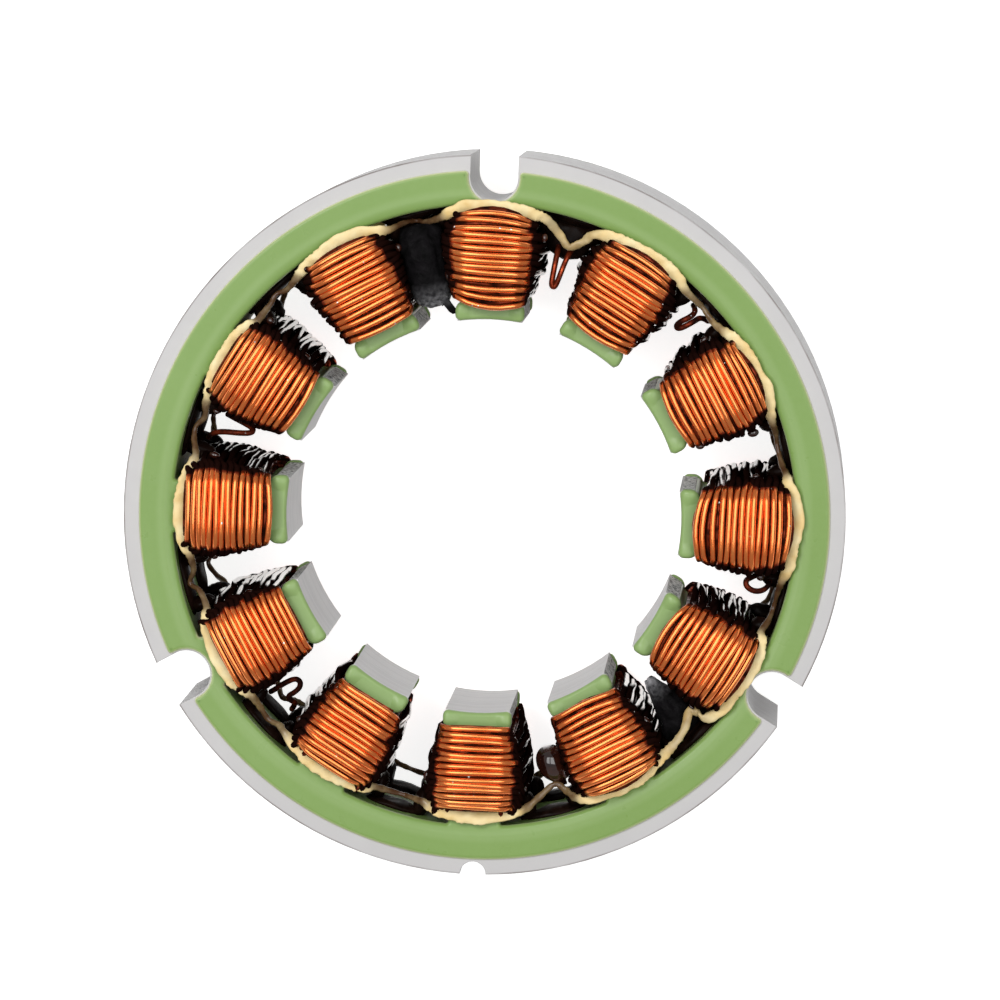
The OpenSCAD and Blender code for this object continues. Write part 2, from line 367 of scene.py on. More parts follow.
# The drops at the ends of the shoes, each of its own height.
shoe_top_r = 14.95 * mm
drop_x = 1.95 * mm
drop_y = 14.2 * mm
drop_r = 0.8 * mm
shoe_edges = []
for edge in pads.edges:
    if all(vert.co.z > front_z and vert.co.xy.length < shoe_top_r for vert in edge.verts):
        shoe_edges.append(edge)
bmesh.ops.subdivide_edges(pads, edges=shoe_edges, cuts=6, use_grid_fill=True)
chance = random.Random("shoes")
drop_rise = {(hour, side): chance.uniform(0.13, 0.24) * mm for hour in range(12) for side in (-1, 1)}
for vert in pads.verts:
    if vert.co.z > front_z and vert.co.xy.length < shoe_top_r:
        hour = round(math.degrees(math.atan2(vert.co.x, vert.co.y)) / 30) % 12
        upright = hour_turn(-hour) @ vert.co
        side = 1 if upright.x > 0 else -1
        aside = (upright.xy - Vector((side * drop_x, drop_y))).length
        vert.co.z += drop_rise[hour, side] * max(0, 1 - (aside / drop_r) ** 2) ** 2
pads.normal_update()
# The coat thins to a pale line at the foot of its outer edge. The same pale mark is a painted
# highlight round the notch lips and, weaker, along the slots.
thin_coat_and_highlight = pads.verts.layers.float.new("thin_coat_and_highlight")
round_low = front_z + pad_lift - coat_drape
for vert in pads.verts:
    from_notch = math.degrees(math.atan2(vert.co.x, vert.co.y)) % 120
    if vert.co.xy.length > slot_floor_r - 0.75 * mm:
        inner = vert.co.xy.length < slot_floor_r + 0.45 * mm and min(from_notch, 120 - from_notch) > 6
        up_round = max(0, (vert.co.z - round_low) / edge_round)
        vert[thin_coat_and_highlight] = (0.4 if inner else 1) * (1 - 0.8 * up_round)
for face in pads.faces:
    if face.normal.z > 0.999:
        for vert in face.verts:
            vert[thin_coat_and_highlight] = 0.0
rear_pad = bmesh.ops.duplicate(pads, geom=pads.verts[:] + pads.edges[:] + pads.faces[:])["geom"]
rear_verts = verts_of(rear_pad)
bmesh.ops.translate(pads, verts=rear_verts, vec=(0, 0, -mid_z))
bmesh.ops.scale(pads, verts=rear_verts, vec=(1, 1, -1))
bmesh.ops.translate(pads, verts=rear_verts, vec=(0, 0, mid_z))
bmesh.ops.recalc_face_normals(pads, faces=pads.faces[:])

liner_reach = 0.05 * mm
liner_low = rear_z - liner_reach
liner = bmesh.new()
trace_teeth(
    liner, liner_low, tooth_half + wall_coat, slot_floor_r - wall_coat, shoe_back_r + wall_coat,
    shoe_half - 0.05 * mm, bore_r + 0.15 * mm, liner_corner,
)
trace(liner, arc_points(slot_floor_r - 0.05 * mm, 0, 357, 119), liner_low)
bmesh.ops.triangle_fill(liner, edges=liner.edges[:], use_beauty=True, normal=(0, 0, 1))
walls = bmesh.ops.extrude_face_region(liner, geom=liner.faces[:], use_keep_orig=True)["geom"]
bmesh.ops.translate(liner, verts=verts_of(walls), vec=(0, 0, front_z - rear_z + 2 * liner_reach))
bmesh.ops.recalc_face_normals(liner, faces=liner.faces[:])

coat_finish, tree, shader, place = start_finish("green_epoxy_coat", 0.3, Specular_IOR_Level=0.3)
green = blend(tree, cloud(tree, 90.0, 0.0, 1.0), (0.204, 0.335, 0.085, 1), (0.222, 0.357, 0.098, 1))
green = blend(tree, cloud(tree, 2600.0, 0.0, 0.05), green, (0.33, 0.48, 0.2, 1))
radius = axis_distance(tree, place)
# Painted light: a paler green sheen band just outside the slots, and paler green on the shoe pads where
# the crowns shade them.
painted_sheen_by_slots = sums(
    tree, "MULTIPLY", ramp(tree, radius, slot_floor_r - 0.05 * mm, slot_floor_r + 0.45 * mm),
    ramp(tree, radius, slot_floor_r + 1.15 * mm, slot_floor_r + 0.65 * mm, 0.0, 0.15),
)
painted_light_on_shoes = ramp(tree, radius, shoe_back_r + 0.9 * mm, shoe_back_r + 0.3 * mm, 0.0, 0.3)
green = blend(tree, sums(tree, "MAXIMUM", painted_sheen_by_slots, painted_light_on_shoes), green, (0.42, 0.56, 0.28, 1))
# The pale edge: the thin coat at the outer edge, and painted highlight on the notch lips and slot edges.
pale_edge_and_highlight = add_node(tree, "ShaderNodeAttribute", attribute_name="thin_coat_and_highlight").outputs["Fac"]
pale_edge_and_highlight = ramp(tree, pale_edge_and_highlight, 0.1, 0.8)
tree.links.new(blend(tree, pale_edge_and_highlight, green, (0.72, 0.76, 0.45, 1)), shader.inputs["Base Color"])
tree.links.new(cloud(tree, 700.0, 0.27, 0.33), shader.inputs["Roughness"])
slope = add_node(
    tree, "ShaderNodeBump",
    {
        "Height": ramp(tree, radius, slot_floor_r - 0.35 * mm, slot_floor_r + 0.55 * mm),
        "Distance": 0.16 * mm,
    },
)
peel = add_node(
    tree, "ShaderNodeBump",
    {
        "Height": cloud(tree, 1100.0, 0.0, 1.0), "Strength": 0.06, "Distance": 0.03 * mm,
        "Normal": slope.outputs["Normal"],
    },
)
tree.links.new(peel.outputs["Normal"], shader.inputs["Normal"])
add_piece("coat_pads", to_mesh("coat_pads", pads, 50), coat_finish, "epoxy_coat", "epoxy_coat")
add_piece("coat_liner", to_mesh("coat_liner", liner, 50), coat_finish, "epoxy_coat")

# Coils: enamelled copper wire wound round each coated tooth, laid turn beside turn in layers.
# The loops bow out over the end faces, lean a little from turn to turn, and run down into the slots,
# where they are painted nearly black as shade and varnish, with painted pale glints along their sides.
turn_count = 14
coil_start_r = 14.98 * mm
coil_end_r = 21.1 * mm
turn_pitch = (coil_end_r - coil_start_r) / turn_count
wire_r = 0.214 * mm
wire_sides = 8
layer_step = 0.36 * mm
corner_x = 1.5 * mm
corner_z = 6.9 * mm
corner_r = 0.3 * mm
half_slot = math.radians(15)


def half_width(turn):
    """Half the coil's width at a turn, from the space that is left between neighbouring coils."""
    share = turn / (turn_count - 1)
    near = max(0, 1 - share / 0.32)
    far = max(0, (share - 0.32) / 0.68)
    space = (2.6 + 0.1 * near ** 2 + 2.8 * far ** 3) * mm
    reach = coil_start_r + (turn + 0.5) * turn_pitch
    return (reach * math.sin(half_slot) - space / 2) / math.cos(half_slot)


def loop_corner(side, end, first):
    """Stations round one corner of a loop: the corner's side and end, and the way out from it."""
    angles = [math.radians(first + 15 * i) for i in range(7)]
    return [(side, end, math.cos(a), math.sin(a)) for a in angles]


stations = [(0, -1, 0, -1), (0.5, -1, 0, -1)]
stations += loop_corner(1, -1, -90)
stations += [(1, end, 1, 0) for end in (-0.75, -0.5, -0.25, 0, 0.25, 0.5, 0.75)]
front_first = len(stations)
stations += loop_corner(1, 1, 0)
stations += [(side, 1, 0, 1) for side in (0.5, 0, -0.5)]
stations += loop_corner(-1, 1, 90)
front_last = len(stations) - 1
stations += [(-1, end, -1, 0) for end in (0.75, 0.5, 0.25, 0, -0.25, -0.5, -0.75)]
rear_again = len(stations)
stations += loop_corner(-1, -1, 180)
stations += [(-0.5, -1, 0, -1)]


def advance(i, front_share):
    """How far a loop has moved on to the next turn at a station, over the front and the rear crown."""
    over_front = min(1, max(0, (i - front_first) / (front_last - front_first)))
    if i < rear_again:
        over_rear = min(0.5, 0.5 * i / 8)
    else:
        over_rear = 0.5 + 0.5 * (i - rear_again) / (len(stations) - rear_again)
    return front_share * over_front + (1 - front_share) * over_rear


def turn_point(turn, station, inset, crown):
    """Where the middle of the wire is at a turn and a station, a depth below the outer layer. The crown
    tells how far its first turns sag and spread toward the bore, its last ones swell outward and all of
    it is pulled toward the bore, in mm."""
    side, end, out_x, out_z = station
    width = half_width(turn)
    bend = max(0.3 * mm, corner_r + width - tooth_half - wall_coat - wire_r - inset)
    x = side * corner_x + out_x * bend
    z = end * corner_z + out_z * bend
    across = 1 - (x / (corner_x + bend)) ** 2
    sag, spread, swell, pull = crown
    bow = -pull - (sag * across + spread) * max(0, 1 - turn / 5) ** 1.5
    bow += swell * across * max(0, (turn - 7.5) / 5.5) ** 1.5
    y = coil_start_r + (turn + 0.5) * turn_pitch + bow * mm * min(1, 2 * abs(out_z))
    z -= 0.2 * mm * out_z * (1 - across)
    return Vector((x, y, mid_z + z))


def draw_wires(name, runs, thickness, closed=False, smooth=0):
    """Draw runs of points as round wires of one thickness and return them as a mesh."""
    drawing = bpy.data.curves.new(name, "CURVE")
    drawing.dimensions = "3D"
    drawing.bevel_depth = thickness
    drawing.bevel_resolution = wire_sides // 2 - 2
    drawing.use_fill_caps = True
    for run in runs:
        line = drawing.splines.new("NURBS" if smooth else "POLY")
        line.points.add(len(run) - 1)
        for spot, p in zip(line.points, run):
            spot.co = (p.x, p.y, p.z, 1)
        line.use_cyclic_u = closed
        line.use_smooth = True
        if smooth:
            line.order_u = 3
            line.use_endpoint_u = not closed
            line.resolution_u = smooth
    holder = bpy.data.objects.new(name, drawing)
    mesh = bpy.data.meshes.new_from_object(holder)
    bpy.data.objects.remove(holder)
    bpy.data.curves.remove(drawing)
    return mesh


crowns = {
    1: (0.5, 0.2, 0.35, 0), 2: (0.45, 0.2, 0.35, 0), 3: (0.6, 0.25, 0.4, 0),
    4: (0.45, 0.15, 0.25, 0.1), 5: (0.33, 0.31, 0.35, 0.25), 6: (0.05, 0.15, 0, 0.6),
    7: (0, 0.05, 0.05, 0.5), 8: (0.1, 0.05, 0.05, 0.45), 9: (0.25, 0.15, 0, 0.3),
    10: (0.3, 0.25, 0.05, 0.15), 11: (0.3, 0.3, 0.2, 0.05), 12: (0.6, 0.35, 0.45, 0),
}


def wind_loops(hour, chance, slack):
    """The middle lines of one coil's outer layer and of the layer under it, drawn at twelve o'clock."""
    crown = crowns[hour]
    front_share = 1.0 if hour == 12 else chance.uniform(0.1, 0.9)
    slacks = [{side: slack.uniform(-0.05, 0.5) * mm for side in (-1, 1)} for loop in range(turn_count)]
    outer = []
    under = []
    for loop in range(turn_count):
        lean = chance.gauss(0, 0.032) * mm
        sink = abs(chance.gauss(0, 0.04)) * mm
        phase = chance.uniform(0, 6.28)
        for i, station in enumerate(stations):
            side, end, out_x, out_z = station
            turn = (loop + advance(i, front_share)) * (turn_count - 1) / turn_count
            sway = 0.03 * mm * math.sin(0.55 * i + phase)
            inset = sink + 0.16 * mm * chance.random() ** 2 * out_x ** 2
            if abs(side) == 1:
                inset -= slacks[loop][side] * (1 - end ** 2)
            p = turn_point(turn, station, inset, crown)
            outer.append(p + Vector((0, lean + sway * (1 + 3 * out_x ** 2), 0)))
            if loop < turn_count - 1:
                under.append(turn_point(turn + 0.5, station, layer_step, crown) + Vector((0, sway, 0)))
    return outer, under


def end_rings(crown):
    """The rings of wire that stack up at both ends of a coil, under its two outer layers."""
    rings = []
    for depth in (2, 3, 4, 5):
        for turn in (0.05, 1.05, turn_count - 2.05, turn_count - 1.05):
            room = half_width(turn) - tooth_half - wall_coat - wire_r - depth * layer_step
            if room > 0.05 * mm:
                rings.append([turn_point(turn, s, depth * layer_step, crown) for s in stations])
    return rings


def add_core(shape, crown):
    """Close the coil under its outer layers, so that no light comes through."""
    core_loops = []
    for turn in (0.1, 1.5, 3, 5, 7, 9, 10.5, 11.7, 12.8):
        verts = [shape.verts.new(turn_point(turn, s, 0.62 * mm, crown)) for s in stations]
        core_loops.append([shape.edges.new(pair) for pair in zip(verts, verts[1:] + verts[:1])])
    for first, second in zip(core_loops, core_loops[1:]):
        bmesh.ops.bridge_loops(shape, edges=first + second)


def mark_wires(shape, hour, chance, slack, outer):
    """Mark how dark each wire is, by varnish and painted shade, and where painted glints run along the
    coil's sides.
    """
    ragged = [(chance.gauss(0, 0.1) * mm, chance.gauss(0, 0.1) * mm) for turn in range(turn_count)]
    varnish_and_painted_shade = shape.verts.layers.float.new("varnish_and_painted_shade")
    glint = shape.verts.layers.float.new("glint")
    flank = chance.choice((-1, 1))
    streaks = []
    for loop in range(turn_count):
        middles = {side: slack.uniform(-0.4, 0.9) for side in (-1, 1)}
        streak_of = {}
        for side in (-1, 1):
            streak_of[side] = (middles[side], slack.uniform(0.3, 1.1), slack.choice((0, 0.7, 1, 1.3)))
        streaks.append(streak_of)
    soak = (chance.uniform(0, 0.4) * mm, chance.uniform(0, 0.4) * mm)
    deep_shine = 0.6 if hour in (5, 6, 7) else 1
    for i, vert in enumerate(shape.verts):
        turn = min(turn_count - 1, max(0, int((vert.co.y - coil_start_r) / turn_pitch)))
        # Painted shade: past a clear middle, ragged from turn to turn and drawn in toward the last turns,
        # each wire darkens out toward the coil's sides.
        clear_half = 0.85 * mm + 0.52 * half_width(turn) + ragged[turn][vert.co.x > 0]
        clear_half -= soak[vert.co.x > 0] * turn / turn_count
        share = (abs(vert.co.x) - clear_half) / (0.4 * mm)
        # Painted groove shade: the under layer, the end rings and the core are dark, and each outer wire
        # darkens down its flanks and underside.
        painted_groove_shade = 0.7
        # A drawn wire begins with its two end caps, and then has one ring of vertices at each point.
        ring = i // wire_sides - 2
        if 0 <= ring < len(outer):
            side, end, out_x, out_z = stations[ring % len(stations)]
            offset = (vert.co - outer[ring]) / wire_r
            painted_groove_shade = 0.66 - offset.x * out_x - offset.z * out_z
            # Painted glints: pale streaks on the outward flank of the side wires, and a wider pale wash
            # deep toward the far end.
            if out_z == 0:
                middle, length, strength = streaks[ring // len(stations)][side]
                streak = strength * max(0, 1 - abs(end - middle) / length)
                facing = 0.77 * offset.x * out_x + 0.64 * offset.y * flank
                deep = min(1, max(0, (0.3 - end) / 0.5)) * deep_shine
                vert[glint] = max(3.5 * (facing - 0.6) * streak, 1.2 * (facing - 0.1) * deep, 0)
        vert[varnish_and_painted_shade] = max(share, painted_groove_shade)


def wind_coil(hour):
    """Wind one coil at twelve o'clock, mark its varnish, painted shade and painted glints, and turn it to
    its hour.
    """
    chance = random.Random(hour * 7 + 3)
    slack = random.Random("slack %d" % hour)
    outer, under = wind_loops(hour, chance, slack)
    shape = bmesh.new()
    shape.from_mesh(draw_wires("outer_layer", [outer], wire_r))
    shape.from_mesh(draw_wires("under_layer", [under], wire_r))
    shape.from_mesh(draw_wires("coil_ends", end_rings(crowns[hour]), wire_r, closed=True))
    add_core(shape, crowns[hour])
    bmesh.ops.recalc_face_normals(shape, faces=shape.faces[:])
    mark_wires(shape, hour, chance, slack, outer)
    bmesh.ops.transform(shape, matrix=hour_turn(hour), verts=shape.verts[:])
    return to_mesh("coil_wires_%02d" % hour, shape)


copper_finish, tree, shader, place = start_finish(
    "enamelled_copper", 0.26, Coat_Roughness=0.1, Coat_IOR=1.55, Specular_IOR_Level=0
)
# Painted shade: the copper goes from clear through red-brown to near black by the marked share.
painted_shade_mark = add_node(tree, "ShaderNodeAttribute", attribute_name="varnish_and_painted_shade").outputs["Fac"]
varnish_and_painted_shade = ramp(tree, sums(tree, "ADD", painted_shade_mark, cloud(tree, 1300.0, -0.15, 0.15)), 0.0, 1.0)
clear_copper = blend(tree, cloud(tree, 420.0, 0.0, 1.0), (0.95, 0.225, 0.05, 1), (0.98, 0.29, 0.075, 1))
wire_colour = blend(tree, ramp(tree, varnish_and_painted_shade, 0.0, 0.6), clear_copper, (0.3, 0.04, 0.012, 1))
wire_colour = blend(tree, ramp(tree, varnish_and_painted_shade, 0.45, 0.95), wire_colour, (0.012, 0.004, 0.003, 1))
# Pale specks over the copper: lint, and painted sparkle.
lint_and_sparkle_cells = add_node(tree, "ShaderNodeTexVoronoi", {"Vector": place, "Scale": 1300.0})
lint_and_painted_sparkle = sums(
    tree, "MULTIPLY", ramp(tree, lint_and_sparkle_cells.outputs["Distance"], 0.11, 0.06),
    cloud(tree, 600.0, -0.2, 1.0),
)
lint_and_painted_sparkle = ramp(tree, lint_and_painted_sparkle, 0.3, 0.6)
# Painted glints: the marked streaks turn pale and mirror-like.
painted_glint_mark = add_node(tree, "ShaderNodeAttribute", attribute_name="glint").outputs["Fac"]
painted_glint_line = ramp(tree, painted_glint_mark, 0.25, 0.6)
pale = sums(tree, "MAXIMUM", lint_and_painted_sparkle, painted_glint_line)
tree.links.new(blend(tree, pale, wire_colour, (0.85, 0.83, 0.8, 1)), shader.inputs["Base Color"])
mirror = sums(tree, "MAXIMUM", ramp(tree, varnish_and_painted_shade, 0.4, 1.0, 0.92, 0.0), painted_glint_line)
tree.links.new(mirror, shader.inputs["Metallic"])
tree.links.new(ramp(tree, varnish_and_painted_shade, 0.0, 1.0, 0.25, 0.12), shader.inputs["Roughness"])
tree.links.new(ramp(tree, varnish_and_painted_shade, 0.0, 1.0, 0.35, 0.0), shader.inputs["Coat Weight"])
for hour in range(1, 13):
    add_piece(
        "coil_wires_%02d" % hour, wind_coil(hour), copper_finish, "enamelled_copper", "coil_%02d" % hour
    )

# Jumper loops: the same enamelled wire, bent into loops that join one coil to the next.
# Each comes up out of its slot near the back iron, runs toward the bore and doubles back, dark with
# varnish and painted shade by its own share. Its points are mm across the slot, from the axis and below
# the front face.
jumper_r = 0.2 * mm
jumpers = (
    ("12_01", 12.5, 0.62, (
        (-0.5, 19.4, 3.2), (-0.48, 19.3, 1.0), (-0.38, 18.4, 0.6), (-0.26, 17.2, 0.55),
        (-0.16, 16.6, 0.6), (0.1, 16.55, 0.65), (0.18, 17.2, 0.6), (0.26, 18.4, 0.6), (0.42, 19.4, 1.0),
        (0.6, 19.6, 3.0),
    )),
    ("01_02", 1.5, 0.7, (
        (-0.7, 20.4, 3.2), (-0.35, 20.4, 1.2), (-0.3, 19.9, 0.7), (-0.6, 19.0, 0.6), (-0.5, 18.6, 0.7),
        (-0.2, 18.75, 0.8), (0.05, 19.7, 0.8), (0.2, 20.4, 1.3), (0.8, 20.4, 3.2),
    )),
    ("03_04", 3.5, 0.75, (
        (-1.5, 20.3, 3.0), (-1.2, 20.3, 1.2), (-0.7, 20.0, 0.6), (-0.45, 19.4, 0.5), (-0.6, 18.8, 0.55),
        (-1.0, 18.6, 0.6), (-1.3, 18.9, 0.7), (-1.5, 19.2, 1.2), (-1.6, 19.4, 2.4),
    )),
    ("07_08", 7.5, 0.8, (
        (-0.8, 19.4, 3.0), (-0.65, 18.6, 1.4), (-0.2, 18.75, 0.9), (0.13, 18.6, 0.7), (0.0, 18.1, 0.55),
        (0.0, 17.55, 0.5), (0.3, 17.25, 0.5), (0.7, 17.4, 0.55), (0.95, 18.2, 0.8), (1.05, 19.0, 1.3),
        (1.1, 19.6, 2.8),
    )),
    ("09_10", 9.5, 0.72, (
        (-0.6, 20.0, 3.0), (-0.1, 19.8, 1.3), (0.3, 19.0, 0.7), (0.5, 18.0, 0.55), (0.75, 17.1, 0.6),
        (1.05, 17.0, 0.8), (1.2, 17.6, 1.1), (1.3, 18.6, 1.8), (1.3, 19.2, 3.0),
    )),
)
for pair, hour, soak, route in jumpers:
    run = [Vector((across * mm, reach * mm, front_z - drop * mm)) for across, reach, drop in route]
    wire = draw_wires("jumper_wire_" + pair, [run], jumper_r, smooth=8)
    wire.attributes.new("varnish_and_painted_shade", "FLOAT", "POINT").data.foreach_set("value", [soak] * len(wire.vertices))
    wire.transform(hour_turn(hour))
    add_piece("jumper_wire_" + pair, wire, copper_finish, "enamelled_copper", "jumper_" + pair)

# Joint sleeves: black sleeving shrunk over the soldered joints between coils.
# It follows the lumps of the joint, draws in at both ends and is torn where it was cut. The torn end
# is painted grey, partly as painted reflection off its facets.
sleeve_finish, tree, shader, place = start_finish("black_sleeving", 0.5, Specular_IOR_Level=0.03)
black = blend(tree, cloud(tree, 1600.0, 0.0, 1.0), (0.003, 0.003, 0.003, 1), (0.008, 0.007, 0.008, 1))
# The torn end is painted grey: the torn film and a painted reflection off its facets.
torn_sheen_share = add_node(tree, "ShaderNodeAttribute", attribute_name="torn_end_and_sheen").outputs["Fac"]
torn_sheen_grey = blend(tree, cloud(tree, 3000.0, 0.0, 1.0), (0.05, 0.05, 0.055, 1), (0.45, 0.44, 0.46, 1))
tree.links.new(blend(tree, torn_sheen_share, black, torn_sheen_grey), shader.inputs["Base Color"])
tree.links.new(cloud(tree, 2200.0, 0.35, 0.65), shader.inputs["Roughness"])
wrinkle = add_node(
    tree, "ShaderNodeBump",
    {"Height": cloud(tree, 1500.0, 0.0, 1.0), "Strength": 0.7, "Distance": 0.12 * mm},
)
tree.links.new(wrinkle.outputs["Normal"], shader.inputs["Normal"])


def shake(chance, size):
    """A small random move in any direction."""
    return Vector((chance.gauss(0, size), chance.gauss(0, size), chance.gauss(0, size)))


def loft_along_slot(name, hour, rings, jitter):
    """Loft oval rings along one slot. A ring has its place across the slot, from the axis and below the
    front face, and its half width and half height, in mm."""
    shape = bmesh.new()
    chance = random.Random(name)
    loops = []
    torn_end_and_sheen = shape.verts.layers.float.new("torn_end_and_sheen")
    upright = Matrix.Rotation(math.radians(90), 4, "X")
    for i, (across, reach, depth, wide, tall) in enumerate(rings):
        spot = Matrix.Translation((across * mm, reach * mm, front_z - depth * mm))
        oval = spot @ upright @ Matrix.Diagonal((wide * mm, tall * mm, 1, 1))
        ring = bmesh.ops.create_circle(shape, segments=20, radius=1, matrix=oval)["verts"]
        for vert in ring:
            vert.co += shake(chance, jitter) * mm
            vert[torn_end_and_sheen] = max(0, 1 - 0.4 * i)
        loops.append([e for e in shape.edges if e.verts[0] in ring and e.verts[1] in ring])
    for first, second in zip(loops, loops[1:]):
        bmesh.ops.bridge_loops(shape, edges=first + second)
    for loop in (loops[0], loops[-1]):
        bmesh.ops.contextual_create(shape, geom=loop)
    bmesh.ops.subdivide_edges(shape, edges=shape.edges[:], cuts=1, smooth=0.6, use_grid_fill=True)
    bmesh.ops.recalc_face_normals(shape, faces=shape.faces[:])
    bmesh.ops.transform(shape, matrix=hour_turn(hour), verts=shape.verts[:])
    return to_mesh(name, shape, 60)


sleeves = (
    ("11_12", 11.5, (
        (0.1, 14.9, 1.2, 0.5, 0.3), (0.05, 15.2, 1.0, 1.1, 0.6), (0, 15.7, 0.8, 1.35, 0.85),
        (0, 16.6, 0.7, 1.4, 1.0), (-0.05, 17.5, 0.75, 1.4, 1.0), (0, 18.4, 0.7, 1.4, 1.1),
        (0, 19.2, 0.75, 1.45, 1.05), (0.1, 19.8, 0.9, 1.5, 0.9), (0.1, 20.6, 1.1, 1.2, 0.6),
    )),
    ("04_05", 4.5, (
        (-0.45, 16.1, 1.7, 0.3, 0.2), (-0.45, 16.5, 1.5, 0.5, 0.4), (-0.4, 17.1, 1.6, 0.65, 0.5),
        (-0.3, 17.8, 1.5, 0.9, 0.7), (-0.2, 18.5, 1.5, 1.1, 0.8), (-0.1, 19.1, 1.5, 1.25, 0.8),
        (0, 19.7, 1.5, 1.4, 0.7), (0, 20.3, 1.6, 1.4, 0.6), (0, 20.7, 1.8, 0.9, 0.4),
    )),
)
torn_flap = (
    (0.35, 16.2, 0.5, 0.4, 0.12), (0.55, 15.7, 0.35, 0.42, 0.08), (0.8, 15.1, 0.45, 0.3, 0.06),
    (1.0, 14.6, 0.6, 0.28, 0.05), (1.2, 14.1, 0.75, 0.14, 0.05),
)
flap_mesh = loft_along_slot("sleeve_flap", 11.5, torn_flap, 0.015)
add_piece("sleeve_flap", flap_mesh, sleeve_finish, "black_sleeve")
for pair, hour, rings in sleeves:
    sleeve_mesh = loft_along_slot("sleeve_" + pair, hour, rings, 0.06)
    add_piece("sleeve_" + pair, sleeve_mesh, sleeve_finish, "black_sleeve", "joint_sleeve_" + pair)

# Lacing: a soft flat cord of loose fibre, laid over the coat behind every crown.
# Between the crowns it is pulled down into the slots, where the varnish has soaked it brown.
cord_half = 0.4 * mm
cord_thin = 0.17 * mm
cord_sides = 12
# The stops over a crown: degrees from the tooth, then mm from the axis and above the end face.
cord_route = (
    (-10, 20.95, 0.25), (-7.5, 21.2, 0.6), (-4, 21.42, 0.68), (0, 21.48, 0.7),
    (4, 21.42, 0.68), (7.5, 21.2, 0.6), (10, 20.95, 0.25),
)
# How far each crown's stops are shifted from the axis, in mm.
cord_shifts = (0, 0.02, 0.02, 0.1, -0.18, -0.42, -0.53, -0.6, -0.6, -0.5, -0.3, -0.12)
# The dip into each slot: degrees from its middle, mm as above, and how far varnish has soaked it.
cord_dips = (
    (0.9, 19.4, -0.3, 0.55), (0, 20.8, -0.5, 0.85), (0, 20.8, -1.2, 1), (0, 21, -1.2, 1),
    (-4, 19.6, -0.2, 0.5), (-1.5, 19.4, -0.6, 0.85), (0, 20.3, -0.8, 0.95), (0, 20.7, -0.9, 0.85),
    (0, 21, -1, 0.95), (0, 21, -0.8, 0.95), (0, 21.1, -0.7, 0.95), (0, 20.9, -1.5, 1),
)
cord_finish, tree, shader, place = start_finish("waxed_cord", 0.55)
soaked = add_node(tree, "ShaderNodeAttribute", attribute_name="soaked").outputs["Fac"]
soaked = ramp(tree, sums(tree, "ADD", soaked, cloud(tree, 900.0, -0.12, 0.12)), 0.0, 1.0)
cream = blend(tree, cloud(tree, 700.0, 0.0, 1.0), (0.84, 0.59, 0.23, 1), (0.97, 0.82, 0.46, 1))
tree.links.new(blend(tree, soaked, cream, (0.08, 0.034, 0.014, 1)), shader.inputs["Base Color"])
tree.links.new(ramp(tree, soaked, 0.0, 1.0, 0.55, 0.25), shader.inputs["Roughness"])
fibres = add_node(
    tree, "ShaderNodeBump",
    {"Height": cloud(tree, 3600.0, 0.0, 1.0), "Strength": 0.4, "Distance": 0.03 * mm},
)
tree.links.new(fibres.outputs["Normal"], shader.inputs["Normal"])


def cord_line(chance, up):
    """The middle line of one lacing as close points on a smooth closed curve, each with its soaking."""
    knots = []
    for hour in range(12):
        shift = cord_shifts[hour]
        aside, dip_reach, dip_rise, dark = cord_dips[hour]
        half_reach = (20.9 + shift + dip_reach) / 2
        corner_soak = {-10: 0.8 * cord_dips[hour - 1][3], 10: 0.8 * dark}
        stretch = []
        for angle, reach, rise in cord_route:
            stretch.append((angle, reach + shift, rise, corner_soak.get(angle, 0)))
        stretch.append((12.6 + aside / 2, half_reach, dip_rise / 2, 0.9 * dark))
        stretch.append((15 + aside, dip_reach, dip_rise, dark))
        stretch.append((17.4 + aside / 2, half_reach, dip_rise / 2, 0.9 * dark))
        for angle, reach, rise, soak in stretch:
            turn = math.radians(angle + 30 * hour + chance.gauss(0, 0.35))
            r = (reach - (0 if up > 0 else 0.22) + chance.gauss(0, 0.07)) * mm
            level = (front_z if up > 0 else rear_z) + up * (rise + chance.gauss(0, 0.04)) * mm
            knots.append(Vector((r * math.sin(turn), r * math.cos(turn), level, soak)))
    line = []
    count = len(knots)
    for i in range(count):
        a, b, c, d = (knots[(i + j) % count] for j in (-1, 0, 1, 2))
        for step in range(8):
            t = step / 8
            line.append(0.5 * (2 * b + t * (c - a) + t * t * (2 * a - 5 * b + 4 * c - d)
                               + t ** 3 * (3 * b - a - 3 * c + d)))
    return line


